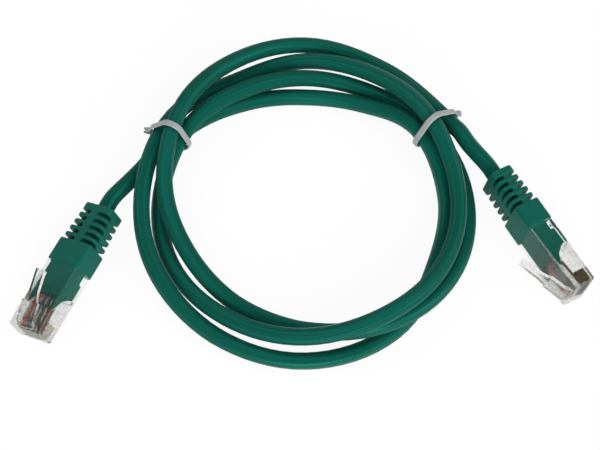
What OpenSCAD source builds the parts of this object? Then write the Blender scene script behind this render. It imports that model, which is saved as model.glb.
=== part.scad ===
// Ethernet patch cable: a coil held by two twist ties, with a booted 8P8C plug at each end.
// Millimetres, +Z up. The origin lies on the table, midway between the two plugs.
// A plug is drawn along its own +X, from the cable end of its boot (x = 0) to its nose,
// with the pins side by side along Y (pin 8 at +Y) and the latch on its +Z face.

/* [Cable] */
// Outside diameter of the cable jacket
cable_d = 5.2; // [4.8:0.1:5.4]
// Sides of the tube that stands for a free lead
lead_sides = 8; // [8:1:12]
// Outside diameter of one insulated conductor
wire_d = 0.95; // [0.8:0.05:1]

/* [Plug housing] */
// Width of the plug across its pins
plug_w = 11.7; // [11.5:0.1:12]
// Height of the plug at its rear, from contact face to latch face
plug_h = 8; // [7.6:0.1:8.4]
// Height that the latch face drops towards the nose
nose_drop = 0.75; // [0.4:0.05:1]
// Length of the clear housing
housing_l = 22.75; // [21:0.25:24]
// Length of the slope from the latch face down to the nose
slope_l = 10.5; // [9:0.5:11.5]
// Thickness of the housing walls
wall = 0.8; // [0.6:0.05:1]
// Bevel on the housing's long edges
edge_bevel = 0.4; // [0.2:0.05:0.6]
// Length of the crimp window in the contact face
window_l = 4.8; // [4.2:0.1:5.2]
// Width of the crimp window
window_w = 7.2; // [6:0.1:8]
// Length of the rear bridge behind the crimp window
bridge_l = 3.1; // [2.5:0.1:3.5]
// Height of the rear bridge, which stands in a notch of the boot's tongue
bridge_h = 1.9; // [1.2:0.1:2]
// Height of the stop rib in front of the crimp window
rib_h = 0.6; // [0.3:0.05:0.8]

/* [Contacts] */
// Number of contacts and conductors
pins = 8; // [8:1:8]
// Distance from one contact to the next
pin_pitch = 1.02; // [1:0.01:1.05]
// Thickness of a contact blade
blade_t = 0.35; // [0.25:0.05:0.45]
// Length of a contact blade along the plug
blade_l = 4; // [3.4:0.1:4.4]
// Depth of the blades' edges below the contact face
blade_recess = 0.5; // [0.3:0.05:0.7]
// Depth that the blades' teeth bite into the conductors
bite = 0.5; // [0.3:0.05:0.6]

/* [Latch] */
// Width of the latch at its shoulders
shoulder_w = 6.1; // [5.6:0.1:6.3]
// Width of the latch's handle
handle_w = 3.3; // [2.8:0.1:3.8]
// Distance from the nose to the shoulders
shoulder_x = 7.3; // [6.6:0.1:8]
// Distance from the nose to the free end of the handle
latch_reach = 16.2; // [15:0.1:17]
// Height of the free end above the contact face side's middle plane
latch_rise = 9.8; // [9.2:0.1:10.2]
// Thickness of the latch
latch_t = 1.15; // [0.9:0.05:1.3]
// Radius of the latch's root
root_r = 0.75; // [0.6:0.05:0.85]

/* [Boot] */
// Length of the boot's solid body behind the housing
boot_body_l = 7.7; // [7:0.1:9]
// Width of the boot's body, which stands a little proud of the housing
body_w = 12.3; // [12:0.1:12.6]
// Height of the boot's body
body_h = 8.5; // [8.2:0.1:8.8]
// Length of the thick ring at the cable end
end_ring_l = 2.4; // [2:0.1:3.2]
// Number of thin ribs between the end ring and the body
ribs = 4; // [3:1:5]
// Length of one rib along the cable
rib_l = 1.2; // [1:0.05:1.4]
// Length of one slot between ribs
slot_l = 1.24; // [0.9:0.02:1.4]
// Width of the end ring
end_ring_w = 10.8; // [10.2:0.1:11.2]
// Height of the end ring
end_ring_h = 7.8; // [7.2:0.1:8]
// Width of the last rib before the body
last_rib_w = 12; // [11.4:0.1:12.2]
// Height of the last rib before the body
last_rib_h = 8.2; // [7.8:0.1:8.4]
// Corner radius of the ribs
rib_corner = 1.6; // [1.2:0.1:2.2]
// Corner radius of the boot's body
body_corner = 0.9; // [0.5:0.1:1.4]
// Width of the spine along the middle of the wide sides
wide_spine = 2.6; // [2:0.1:3.2]
// Width of the spine along the middle of the narrow sides
side_spine = 2; // [1.6:0.1:2.4]
// Thickness of the sleeve round the cable at the bottom of the slots
sleeve_t = 0.45; // [0.3:0.05:0.6]

/* [Twist ties] */
// Width of the tie's plastic ribbon
tie_w = 2; // [1.6:0.1:2.2]
// Thickness of the ribbon over its wire core
tie_t = 0.9; // [0.8:0.05:1]
// Diameter of the tie's steel core
tie_core_d = 0.45; // [0.35:0.05:0.5]
// Space between the ribbon and the cable
tie_gap = 0.3; // [0.1:0.05:0.4]
// Length of the left tie's twisted tail
tie_left_tail = 1.5; // [1.5:0.5:3]
// Length of the right tie's twisted tail
tie_right_tail = 1.5; // [1.5:0.5:4]

/* [Clearances] */
// Clearance round what is moulded or pressed into the housing
fit = 0.05; // [0.03:0.01:0.1]
// Running clearance round the latch's root
root_gap = 0.08; // [0.05:0.01:0.1]

/* [Hidden] */

eps = 0.01;
cable_r = cable_d / 2;

// ---- Places on the table, measured from the middle of the coil ----
// The coil's middle, from the origin
coil_middle = [1.06, 21.61, 0];
// Each plug: the cable end of its boot, the way that its nose points, and its roll
plug_a_xy = [-60.74, -7.26];
plug_a_turn = -116.5;
plug_a_roll = 23;
plug_b_xy = [58.18, 3.96];
plug_b_turn = -60;
plug_b_roll = 79.5;

// ---- The coil's route ----
// It runs clockwise from the left tie, over three whole turns and a third, to the right tie.
// Each row is one turn, read every 30 degrees: how far the cable's middle is from the coil's
// middle, and how high it is lifted above cable that lies on the table.
station = 30;
start_angle = 150;
rings_a_turn = 24;
reach = [
  43.4, 37.4, 34.4, 35.8, 40.0, 42.9, 45.2, 51.6, 53.8, 53.0, 51.8, 49.2,
  47.3, 45.4, 46.2, 44.8, 43.8, 46.0, 48.2, 49.8, 48.5, 47.2, 46.4, 44.2,
  41.0, 38.2, 39.7, 41.6, 45.0, 49.0, 51.4, 50.8, 44.4, 41.4, 40.8, 42.6,
  44.4, 48.4, 52.2, 50.4, 49.3
];
lift = [
  1.6, 0.0, 0.0, 1.2, 5.2, 0.0, 0.0, 0.0, 0.0, 0.0, 4.0, 5.9,
  6.7, 1.4, 2.6, 5.9, 10.3, 5.4, 7.6, 12.6, 6.0, 2.2, 0.0, 0.5,
  7.1, 7.0, 3.0, 0.4, 1.5, 0.0, 2.2, 6.8, 0.4, 0.0, 3.2, 6.9,
  12.5, 7.8, 2.6, 1.4, 5.4
];
// Where the route comes from and goes to, beyond its two ends
reach_before = 54;
reach_after = 59.5;
lift_before = -2;
lift_after = 4.8;

stations = len(reach) - 1;
function before(list, i, first) = i > 0 ? list[i - 1] : first;
function after(list, i, last) = i + 2 < len(list) ? list[i + 2] : last;

// A smooth curve through four values, from b (t = 0) to c (t = 1)
function smooth(a, b, c, d, t) =
  b + t * (c - a) / 2
  + t * t * (2 * a - 5 * b + 4 * c - d) / 2
  + t * t * t * (3 * b - 3 * c + d - a) / 2;
function along(list, i, t, first, last) =
  smooth(before(list, i, first), list[i], list[i + 1], after(list, i, last), t);

function coil_point(s) =
  let (
    i = min(floor(s), stations - 1),
    t = s - i,
    r = along(reach, i, t, reach_before, reach_after),
    h = max(0, along(lift, i, t, lift_before, lift_after)),
    a = start_angle - station * s
  )
  [r * cos(a), r * sin(a), cable_r + h];

ring_step = 360 / rings_a_turn / station;
coil_loops = [for (s = [0 : ring_step : stations]) coil_point(s)];
coil_in = unit(coil_point(0.02) - coil_point(0));
coil_out = unit(coil_point(stations) - coil_point(stations - 0.02));
// The coil's ends run straight for one diameter
coil_path = concat(
  [coil_loops[0] - cable_d * coil_in],
  coil_loops,
  [coil_loops[len(coil_loops) - 1] + cable_d * coil_out]
);

// ---- The plugs' places ----
function unit(v) = v / norm(v);
// Height of a plug's axis when its boot's lowest edge touches the table
function axis_height(roll) =
  (body_w / 2 - body_corner) * sin(abs(roll)) + (body_h / 2 - body_corner) * cos(roll)
  + body_corner;
plug_a_at = [plug_a_xy.x, plug_a_xy.y, axis_height(plug_a_roll)];
plug_b_at = [plug_b_xy.x, plug_b_xy.y, axis_height(plug_b_roll)];
plug_a_way = [cos(plug_a_turn), sin(plug_a_turn), 0];
plug_b_way = [cos(plug_b_turn), sin(plug_b_turn), 0];

// ---- The leads' routes, chosen by hand between their straight ends ----
lead_left_path = [
  plug_a_at,
  plug_a_at - cable_d * plug_a_way,
  [-54.2, 3, cable_r + 2.4],
  [-50.3, 8.5, cable_r + 1.1],
  coil_path[0] - cable_d * coil_in,
  coil_path[0]
];
lead_right_path = [
  coil_path[len(coil_path) - 1],
  coil_path[len(coil_path) - 1] + cable_r * coil_out,
  [50.7, 14.5, cable_r + 4.8],
  plug_b_at - cable_d * plug_b_way,
  plug_b_at
];

// ---- Twist ties ----
// A tie stands in an upright plane: a point that it passes, and the bearing of its outward way
tie_left_foot = [-40.8, 16.5];
tie_left_way = 158;
tie_right_foot = [40.6, 20.9];
tie_right_way = 38;
// The coil's stations inside each tie, counter-clockwise from the one that its tail stands beside
tie_left_stations = [12, 36, 24, 0];
tie_right_stations = [40, 16, 4, 28];
tie_left_tail_way = -22;
tie_right_tail_way = -22;

// The middle of the coil's tube, which goes on straight beyond its two ends
ring_turn = station * ring_step * PI / 180;
function strand(s) =
  let (
    i = floor(s / ring_step),
    t = s / ring_step - i,
    last = len(coil_loops) - 1
  )
  i < 0 ? coil_loops[0] + s / ring_step * ring_turn * reach[0] * coil_in
  : i < last ? coil_loops[i] + t * (coil_loops[i + 1] - coil_loops[i])
  : coil_loops[last] + (s - stations) / ring_step * ring_turn * reach[stations] * coil_out;

// The place on the route, between two others, that lies in a tie's plane
function past(s, foot, way) = let (p = strand(s)) cross(rad(way), [p.x, p.y] - foot);
function meet(low, high, foot, way, tries = 14) =
  let (s = (low + high) / 2)
  tries == 0 ? s
  : past(s, foot, way) * past(low, foot, way) > 0 ? meet(s, high, foot, way, tries - 1)
  : meet(low, s, foot, way, tries - 1);

// How far the cable leans out and up along its way, where it crosses the plane
function lean(s, way) =
  let (d = strand(s + 0.1) - strand(s - 0.1))
  [[d.x, d.y] * rad(way), d.z] / abs(cross(rad(way), [d.x, d.y]));

// Each crossing in its tie's plane: where its middle is (out, up), and how it leans
function crossings(stations_in, foot, way) =
  [for (n = stations_in)
    let (s = meet(n - 1, n + 1, foot, way), p = strand(s))
    [[([p.x, p.y] - foot) * rad(way), p.z], lean(s, way)]];

// ---- Derived plug sizes ----
slots = ribs + 1;
flex_l = end_ring_l + ribs * rib_l + slots * slot_l;
seam_x = flex_l + boot_body_l;
nose_x = seam_x + housing_l;
half_h = plug_h / 2;
nose_z = half_h - nose_drop;
slope_x = nose_x - slope_l;
sleeve_r = cable_r + sleeve_t;
// Crimp window and the stop rib in front of it
window_x = seam_x + bridge_l;
stop_x = window_x + window_l;
stop_l = 1;
// Conductors: where they leave the jacket, reach their row, and end
jacket_past_bridge = 2.6;
jacket_end_x = window_x + jacket_past_bridge;
fan_l = 4.7;
row_x = stop_x + fan_l;
nose_wall = 0.9;
wire_end_x = nose_x - nose_wall;
row_back_z = 1.2;
row_front_z = 0.3;
bundle_pitch = 0.5;
bundle_z = 0.55;
// The jaws of the boot's tongue, which reach forward beside the conductors
jaw_l = 6.5;
jaw_x = stop_x + jaw_l;
jaw_root_l = 2.6;
middle_x = stop_x + jaw_root_l;
// Hinge line of the latch, behind the nose and below the slope's foot
root_back = 1.2;
root_down = 0.35;
root_x = nose_x - root_back;
root_z = nose_z - root_down;
// Contact blades
blade_back = 5;
blade_x = nose_x - blade_back;

// ================= Shared shapes =================

// A closed tube of straight pieces through the points of a path
module tube(path, d, sides) {
  last = len(path) - 1;
  rings = [for (i = [0 : last]) each tube_ring(path, i, last, d / 2, sides)];
  polyhedron(rings, tube_faces(last, sides));
}

function way_at(path, i, last) =
  i == 0 ? unit(path[1] - path[0])
  : i == last ? unit(path[last] - path[last - 1])
  : unit(unit(path[i + 1] - path[i]) + unit(path[i] - path[i - 1]));

// One ring, with a corner pointing straight down
function tube_ring(path, i, last, r, sides) =
  let (
    way = way_at(path, i, last),
    side = unit(cross(way, [0, 0, 1])),
    up = cross(side, way)
  )
  [for (k = [0 : sides - 1]) let (a = 360 * k / sides - 90)
    path[i] + r * (cos(a) * side + sin(a) * up)];

function tube_faces(last, sides) = concat(
  [for (i = [0 : last - 1], k = [0 : sides - 1], half = [0, 1])
    let (a = i * sides + k, b = i * sides + (k + 1) % sides)
    half == 0 ? [a, b, b + sides] : [a, b + sides, a + sides]],
  [for (k = [1 : sides - 2]) [0, k + 1, k]],
  [for (k = [1 : sides - 2]) let (a = last * sides) [a, a + k, a + k + 1]]
);

// A rectangle with round corners, built from squares and circles so that it stays exact
module round_rect(w, h, r) {
  square([w, h - 2 * r], center = true);
  square([w - 2 * r, h], center = true);
  for (x = [-1, 1], y = [-1, 1]) translate([x * (w / 2 - r), y * (h / 2 - r)]) circle(r, $fn = 32);
}

// Draws a Y-Z outline along the plug, from x = start over a length
module extrude_x(start, length) {
  translate([start, 0, 0]) rotate([90, 0, 90]) linear_extrude(length) children();
}

// Draws an X-Z outline across the plug, centred on it
module extrude_y(width) {
  rotate([90, 0, 0]) linear_extrude(width, center = true) children();
}

// Draws an X-Y outline between two heights
module extrude_z(low, high) {
  translate([0, 0, low]) linear_extrude(high - low) children();
}

module on_table() {
  translate(coil_middle) children();
}

module plug_a() {
  on_table() translate(plug_a_at) rotate([plug_a_roll, 0, plug_a_turn]) children();
}

module plug_b() {
  on_table() translate(plug_b_at) rotate([plug_b_roll, 0, plug_b_turn]) children();
}

// ================= Cable =================

module cable_coil() {
  color("#0d5c4b") on_table() tube(coil_path, cable_d, 6);
}

module lead_left() {
  color("#0d5c4b") on_table() tube(lead_left_path, cable_d, lead_sides);
}

module lead_right() {
  color("#0d5c4b") on_table() tube(lead_right_path, cable_d, lead_sides);
}

// ================= Twist ties =================

// A tie is drawn in its own plane: u runs outward from its foot, v runs up
function rad(a) = [cos(a), sin(a)];
function bearing(v) = atan2(v.y, v.x);
function turn_to(a, b) = (b - a + 720) % 360;

// The belt round the cables: from just past the tail, over each cable's outside, and back.
// It stands further off where a cable leans through it. A tail that hangs below its cable's
// last edge is reached from the cable before, by a fold that turns the other way.
tail_half = 24;
arc_steps = 4;
function edge_out(st, i) = bearing(st[(i + 1) % len(st)][0] - st[i][0]) - 90;
function belt_r(crossing, a) =
  let (q = abs(crossing[1] * rad(a)))
  cable_r * sqrt(1 + q * q) + q * tie_w / 2 + tie_gap + tie_t / 2;
function belt_arc(crossing, from, to) =
  [for (k = [0 : arc_steps]) let (a = from + turn_to(from, to) * k / arc_steps)
    [crossing[0] + belt_r(crossing, a) * rad(a), a]];
function hangs(st, tail_way) = turn_to(edge_out(st, len(st) - 1), tail_way - tail_half) > 180;
function fold_middle(at, way) =
  at + tail_foot * rad(way) - tail_pair * rad(way + 90) + fold_r * rad(way - 90);
// The outward bearing at which the ribbon leaves circle c for a fold round f
function leave_at(c, f, r) = bearing(f - c) + asin((r + fold_r) / norm(f - c)) - 90;
function fold(f, from, to) =
  [for (k = [0 : fold_steps - 1]) let (a = from - turn_to(to, from) * k / fold_steps)
    [f + fold_r * rad(a), a + 180]];
function belt(st, tail_way) =
  let (
    last = len(st) - 1,
    hung = hangs(st, tail_way),
    f = fold_middle(st[0][0], tail_way),
    leave = leave_at(st[last][0], f, belt_r(st[last], -10))
  )
  concat(
    belt_arc(st[0], tail_way + tail_half, edge_out(st, 0)),
    [for (i = [1 : last])
      each belt_arc(st[i], edge_out(st, i - 1), i == last && hung ? leave : edge_out(st, i))],
    hung ? fold(f, leave + 180, tail_way + 90)
      : belt_arc(st[0], edge_out(st, last), tail_way - tail_half)
  );

// The two ends leave the belt side by side and twist round each other
tail_steps = 6;
tail_twist = 120;
tail_pair = tie_t / 2 + 0.08;
tail_foot = cable_r + tie_gap + tie_t + 0.7;
fold_r = 0.9;
fold_steps = 5;
function tail_ring(from, tail_way, tail, k, side) =
  let (
    out = rad(tail_way),
    up = rad(tail_way + 90),
    turned = tail_twist * k / tail_steps,
    normal = [up.x * cos(turned), up.y * cos(turned), sin(turned)],
    wide = [-up.x * sin(turned), -up.y * sin(turned), cos(turned)],
    at = from + (tail_foot + tail * k / tail_steps) * out
  )
  [[at.x, at.y, 0] + side * tail_pair * normal, side * normal, wide];

// Each place on the tie's route: where it is, its outward way and its width's way
function tie_route(st, tail_way, tail) = concat(
  [for (k = [tail_steps : -1 : 0]) tail_ring(st[0][0], tail_way, tail, k, 1)],
  [for (b = belt(st, tail_way))
    [[b[0].x, b[0].y, 0], [rad(b[1]).x, rad(b[1]).y, 0], [0, 0, 1]]],
  [for (k = [0 : tail_steps]) tail_ring(st[0][0], tail_way, tail, k, -1)]
);

// A flat oval of eight corners; four of them stand at these shares of its width and thickness
share_w = 0.38;
share_t = 0.36;
function oval(w, t) =
  let (x = share_w * w, y = share_t * t)
  [[w / 2, 0], [x, y], [0, t / 2], [-x, y], [-w / 2, 0], [-x, -y], [0, -t / 2], [x, -y]];

function section_rings(route, outline) =
  [for (s = route, p = outline) s[0] + p.x * s[2] + p.y * s[1]];

// The ribbon is a hollow oval tube, and the core fills its middle
module ribbon(route) {
  outer = section_rings(route, oval(tie_w, tie_t));
  inner = section_rings(route, oval(tie_core_d + fit, tie_core_d + fit));
  n = 8;
  last = len(route) - 1;
  m = len(outer);
  walls = [for (i = [0 : last - 1], k = [0 : n - 1]) let (a = i * n + k, b = i * n + (k + 1) % n)
    [a, b, b + n, a + n]];
  faces = concat(
    [for (f = walls) each [[f[0], f[2], f[1]], [f[0], f[3], f[2]]]],
    [for (f = walls) each [[m + f[0], m + f[1], m + f[2]], [m + f[0], m + f[2], m + f[3]]]],
    [for (k = [0 : n - 1]) let (b = (k + 1) % n) each [[k, b, m + b], [k, m + b, m + k]]],
    [for (k = [0 : n - 1]) let (a = last * n + k, b = last * n + (k + 1) % n)
      each [[a, m + b, b], [a, m + a, m + b]]]
  );
  polyhedron(concat(outer, inner), faces);
}

module core(route) {
  outline = oval(tie_core_d, tie_core_d);
  n = 8;
  last = len(route) - 1;
  faces = tube_faces(last, n);
  polyhedron(section_rings(route, outline), [for (f = faces) [f[0], f[2], f[1]]]);
}

left_strands = crossings(tie_left_stations, tie_left_foot, tie_left_way);
right_strands = crossings(tie_right_stations, tie_right_foot, tie_right_way);
left_route = tie_route(left_strands, tie_left_tail_way, tie_left_tail);
right_route = tie_route(right_strands, tie_right_tail_way, tie_right_tail);

// Stands a tie's plane upright on the table, across the cables
module tie_place(foot, way) {
  on_table() translate([foot.x, foot.y, 0]) rotate([90, 0, way]) children();
}

module tie_left() {
  color("#a8b0ac") tie_place(tie_left_foot, tie_left_way) ribbon(left_route);
}

module tie_left_core() {
  color("#77797b") tie_place(tie_left_foot, tie_left_way) core(left_route);
}

module tie_right() {
  color("#a8b0ac") tie_place(tie_right_foot, tie_right_way) ribbon(right_route);
}

module tie_right_core() {
  color("#77797b") tie_place(tie_right_foot, tie_right_way) core(right_route);
}

// ================= Plug: boot =================

// Size of the boot's section at rib i, where 0 is the end ring and `ribs` is the last rib
function rib_size(i) = [
  end_ring_w + (last_rib_w - end_ring_w) * i / ribs,
  end_ring_h + (last_rib_h - end_ring_h) * i / ribs
];

// What joins the ribs: a sleeve round the cable, and a spine along the middle of each side
module flex_core(w, h) {
  circle(sleeve_r, $fn = 48);
  square([wide_spine, h], center = true);
  square([w, side_spine], center = true);
}

// Outline of the tongue in the housing, seen from the side; grow is the clearance round it
module tongue_side(grow) {
  low = -half_h + wall + fit - grow;
  notch_top = -half_h + bridge_h + fit - grow;
  notch_x = window_x + fit - grow;
  polygon([
    [seam_x - eps, notch_top], [notch_x, notch_top], [notch_x, low],
    [stop_x + 0.5 + grow, low],
    [stop_x + 1.1 + grow, -1.6],
    [stop_x + 2.9 + grow, 0.6 - grow],
    [jaw_x + grow, 2.1 - grow],
    [jaw_x + grow, 2.5 + grow],
    [jaw_x - 1.5 + grow, half_h - wall - fit - 0.15 + grow],
    [seam_x - eps, half_h - wall - fit + grow]
  ]);
}

// The space that the conductors fan out in, seen from above
module fan_plan(grow) {
  outer = pin_pitch * (pins - 1) / 2 + wire_d / 2;
  polygon([
    [jacket_end_x, -cable_r - grow], [middle_x, -outer - grow], [row_x + 3, -outer - grow],
    [row_x + 3, outer + grow], [middle_x, outer + grow], [jacket_end_x, cable_r + grow]
  ]);
}

module boot() {
  tongue_w = plug_w - 2 * wall - 2 * fit;
  difference() {
    union() {
      // End ring and ribs
      extrude_x(0, end_ring_l) round_rect(end_ring_w, end_ring_h, rib_corner);
      for (i = [1 : ribs]) {
        size = rib_size(i);
        extrude_x(end_ring_l + i * slot_l + (i - 1) * rib_l, rib_l)
          round_rect(size.x, size.y, rib_corner);
      }
      for (i = [0 : ribs]) {
        size = rib_size(i);
        extrude_x(end_ring_l + i * (slot_l + rib_l) - eps, slot_l + 2 * eps)
          flex_core(size.x - 0.4, size.y - 0.4);
      }
      // Body, up to the seam with the housing
      extrude_x(flex_l, boot_body_l) round_rect(body_w, body_h, body_corner);
      // Tongue, and the pad that fills the crimp window
      extrude_y(tongue_w) tongue_side(0);
      extrude_z(-half_h + 0.1, -half_h + wall + 1)
        translate([window_x + 2 * fit, -window_w / 2 + fit]) square([window_l - 3 * fit, window_w - 2 * fit]);
    }
    // Bore for the cable
    extrude_x(-1, jacket_end_x + 1 + fit) circle(cable_r + fit, $fn = 48);
    // Passage for the conductors, and the gap between the jaws
    extrude_z(-1.5, 2) fan_plan(0.1);
    intersection() {
      extrude_z(-half_h - 1, half_h + 1) fan_plan(0.1);
      extrude_z(-half_h - 1, half_h + 1) translate([middle_x, -plug_w]) square([housing_l, 2 * plug_w]);
    }
  }
}

// ================= Plug: housing =================

module housing_side() {
  polygon([
    [seam_x, -half_h],
    [nose_x - 0.8, -half_h],
    [nose_x, -half_h + 0.8],
    [nose_x, nose_z - 0.5],
    [nose_x - 0.5, nose_z],
    [slope_x, half_h],
    [seam_x, half_h]
  ]);
}

module housing_section() {
  b = edge_bevel;
  x = plug_w / 2;
  polygon([
    [-x, -half_h + b], [-x + b, -half_h], [x - b, -half_h], [x, -half_h + b],
    [x, half_h - b], [x - b, half_h], [-x + b, half_h], [-x, half_h - b]
  ]);
}

// The row of conductors lies in one sloping slot
module wire_row_side(grow) {
  r = wire_d / 2 + grow;
  polygon([
    [row_x - 2.4, row_back_z - r - 0.6], [row_x - 1, row_back_z - r - 0.12],
    [row_x, row_back_z - r], [wire_end_x + grow, row_front_z - r],
    [wire_end_x + grow, row_front_z + r], [row_x, row_back_z + r],
    [row_x - 2.4, row_back_z + r]
  ]);
}

module housing() {
  row_w = pin_pitch * (pins - 1) + wire_d + 2 * fit;
  difference() {
    intersection() {
      extrude_y(plug_w + 1) housing_side();
      extrude_x(seam_x, housing_l) housing_section();
    }
    // Chamber for the tongue, and the groove for the cable in the rear bridge
    extrude_y(plug_w - 2 * wall) tongue_side(fit);
    extrude_x(seam_x - 1, bridge_l + 1 + fit) circle(cable_r + fit, $fn = 48);
    // Row of conductors and the slots for the blades
    extrude_y(row_w) wire_row_side(fit);
    for (i = [1 : pins]) translate([0, pin_y(i), 0]) extrude_y(blade_t + 2 * fit) blade_slot();
    // Crimp window
    extrude_z(-half_h - 1, -half_h + wall + 0.3)
      translate([window_x, -window_w / 2]) square([window_l, window_w]);
    // Seat of the latch's root
    translate([root_x, 0, root_z]) rotate([90, 0, 0])
      cylinder(r = root_r + root_gap, h = shoulder_w + 2 * root_gap, center = true, $fn = 48);
    extrude_y(shoulder_w + 2 * root_gap) seat_side();
  }
  // Stop rib in front of the crimp window
  extrude_y(window_w) polygon([
    [stop_x + 0.2, -half_h + eps], [stop_x + 0.2, -half_h - rib_h],
    [stop_x + stop_l, -half_h - rib_h], [stop_x + stop_l + rib_h, -half_h + eps]
  ]);
}

// Space above the root, wide enough for the neck at full press
module seat_side() {
  way = rad(bearing(latch_neck - [root_x, root_z]) + press);
  left = [root_x, root_z] + (latch_t / 2 + root_gap) * [-way.y, way.x];
  rise = 3;
  polygon([
    [root_x + root_r + root_gap, root_z - eps], [root_x + root_r + root_gap, root_z + rise],
    left + rise / way.y * way, left
  ]);
}

// ================= Plug: contacts =================

function pin_y(i) = (i - (pins + 1) / 2) * pin_pitch;
blade_low = -half_h + blade_recess;
blade_top = row_front_z - wire_d / 2;
blade_nose = 0.7;

// One blade, seen from the side: a rounded contact edge below and two teeth above
module blade_side() {
  end = blade_x + blade_l;
  polygon(concat(
    [[blade_x, blade_top - 0.3], [blade_x, blade_low]],
    [for (a = [-90 : 18 : 0]) [end - blade_nose, blade_low + blade_nose] + blade_nose * rad(a)],
    [
      [end, blade_top - 0.1], [end - 0.5, blade_top - 0.1], [end - 0.8, blade_top + bite],
      [end - 1.2, blade_top - 0.1], [end - 2, blade_top - 0.1], [end - 2.4, blade_top + bite],
      [end - 2.8, blade_top - 0.1]
    ]
  ));
}

module blade_slot() {
  polygon([
    [blade_x - fit, blade_top + bite + fit], [blade_x - fit, -half_h - 1],
    [nose_x + 1, -half_h - 1], [nose_x + 1, blade_low + 0.9],
    [blade_x + blade_l + fit, blade_low + 1.6], [blade_x + blade_l + fit, blade_top + bite + fit]
  ]);
}

module contacts() {
  for (i = [1 : pins]) translate([0, pin_y(i), 0]) extrude_y(blade_t) blade_side();
}

// ================= Plug: latch =================

// The latch springs up from its root, bends back over the housing and rises to its free end
press = 15;
latch_neck = [nose_x - 2, root_z + 1.5];
latch_end = [nose_x - latch_reach, latch_rise];
latch_slope = (latch_end.y - latch_neck.y) / (latch_neck.x - latch_end.x);
function latch_z(x) = latch_neck.y + (latch_neck.x - x) * latch_slope;

// Root and neck: a band as thick as the latch
module neck_side() {
  root = [root_x, root_z];
  way = unit(latch_neck - root);
  left = latch_t / 2 * [-way.y, way.x];
  polygon([root - left, root + left, latch_neck + left, latch_neck - left]);
}

// The arm, with a thicker lip at its free end
module arm_side() {
  x = latch_end.x;
  half = latch_t / 2;
  polygon([
    [x, latch_z(x) - half - 0.3], [x + 0.8, latch_z(x + 0.8) - half - 0.1],
    [x + 1.3, latch_z(x + 1.3) - half], [latch_neck.x, latch_neck.y - half],
    latch_neck + [0.5, 0.1], [latch_neck.x, latch_neck.y + half], [x, latch_z(x) + half]
  ]);
}

// Seen from above: the wide part that the socket catches, a taper, and the handle
module latch_plan() {
  shoulder = nose_x - shoulder_x;
  half = shoulder_w / 2;
  grip = handle_w / 2;
  polygon([
    [root_x + 1, -half], [shoulder, -half], [shoulder, -grip - 0.7], [shoulder - 2.6, -grip],
    [latch_end.x - 1, -grip], [latch_end.x - 1, grip], [shoulder - 2.6, grip],
    [shoulder, grip + 0.7], [shoulder, half], [root_x + 1, half]
  ]);
}

module latch() {
  translate([root_x, 0, root_z]) rotate([90, 0, 0])
    cylinder(r = root_r, h = shoulder_w, center = true, $fn = 48);
  extrude_y(shoulder_w) neck_side();
  intersection() {
    extrude_y(plug_w) arm_side();
    extrude_z(0, 2 * latch_rise) latch_plan();
  }
}

// ================= Plug: cable end and conductors =================

module jacket() {
  extrude_x(0, jacket_end_x) circle(cable_r, $fn = 48);
}

// A conductor leaves the bundle, spreads to its own place in the row, and ends under the nose
function ease(t) = t <= 0 ? 0 : t >= 1 ? 1 : t * t * (3 - 2 * t);
wire_rings = 12;
wire_straight = 0.4;
function wire_point(i, k) =
  let (
    start_x = jacket_end_x + wire_straight,
    x = k == 0 ? jacket_end_x : start_x + (wire_end_x - start_x) * (k - 1) / (wire_rings - 2),
    t = (x - start_x) / (row_x - start_x),
    y0 = (i - (pins + 1) / 2) * bundle_pitch,
    z0 = i % 2 == 0 ? bundle_z : -bundle_z,
    slope = max(0, (x - row_x) / (wire_end_x - row_x)),
    row_z = row_back_z + (row_front_z - row_back_z) * slope
  )
  [x, y0 + (pin_y(i) - y0) * ease(1.25 * t), z0 + (row_z - z0) * ease(t)];

module wire(i) {
  tube([for (k = [0 : wire_rings - 1]) wire_point(i, k)], wire_d, 6);
}

// Colours of the pairs, from pin 1 to pin 8
wire_colors = [
  "#f2d9c0", "#e8702a", "#cfe8cf", "#2f62b8", "#d5def2", "#2f9a50", "#e6d9cc", "#7a4a28"
];

module housing_a() { color("#e8ecec", 0.35) plug_a() housing(); }
module housing_b() { color("#e8ecec", 0.35) plug_b() housing(); }
module latch_a() { color("#dfe4e4", 0.5) plug_a() latch(); }
module latch_b() { color("#dfe4e4", 0.5) plug_b() latch(); }
module contacts_a() { color("#c9a54a") plug_a() contacts(); }
module contacts_b() { color("#c9a54a") plug_b() contacts(); }
module boot_a() { color("#146b58") plug_a() boot(); }
module boot_b() { color("#146b58") plug_b() boot(); }
module jacket_a() { color("#0d5c4b") plug_a() jacket(); }
module jacket_b() { color("#0d5c4b") plug_b() jacket(); }
module wire_a(i) { color(wire_colors[i - 1]) plug_a() wire(i); }
module wire_b(i) { color(wire_colors[i - 1]) plug_b() wire(i); }

// ================= Measures =================

// Least gap between the cable's surfaces where the coil passes itself
function gap_to(p, a, b) =
  let (way = b - a, t = max(0, min(1, ((p - a) * way) / (way * way)))) norm(p - a - t * way);
parts_a_chord = 4;
half_turn = rings_a_turn / 2;
coil_gaps = [for (i = [0 : len(coil_path) - 2], k = [0 : parts_a_chord - 1],
                  j = [i + half_turn : 1 : len(coil_path) - 2])
  gap_to(coil_path[i] + (coil_path[i + 1] - coil_path[i]) * k / parts_a_chord,
         coil_path[j], coil_path[j + 1])];
function run(path, i = 1) = i < len(path) ? norm(path[i] - path[i - 1]) + run(path, i + 1) : 0;
echo(least_coil_gap = min(coil_gaps) - cable_d);
echo(coil_length = run(coil_path));
echo(left_lead_length = run(lead_left_path));
echo(right_lead_length = run(lead_right_path));
echo(jacket_in_plug = jacket_end_x);

// ================= Nodes =================

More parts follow.
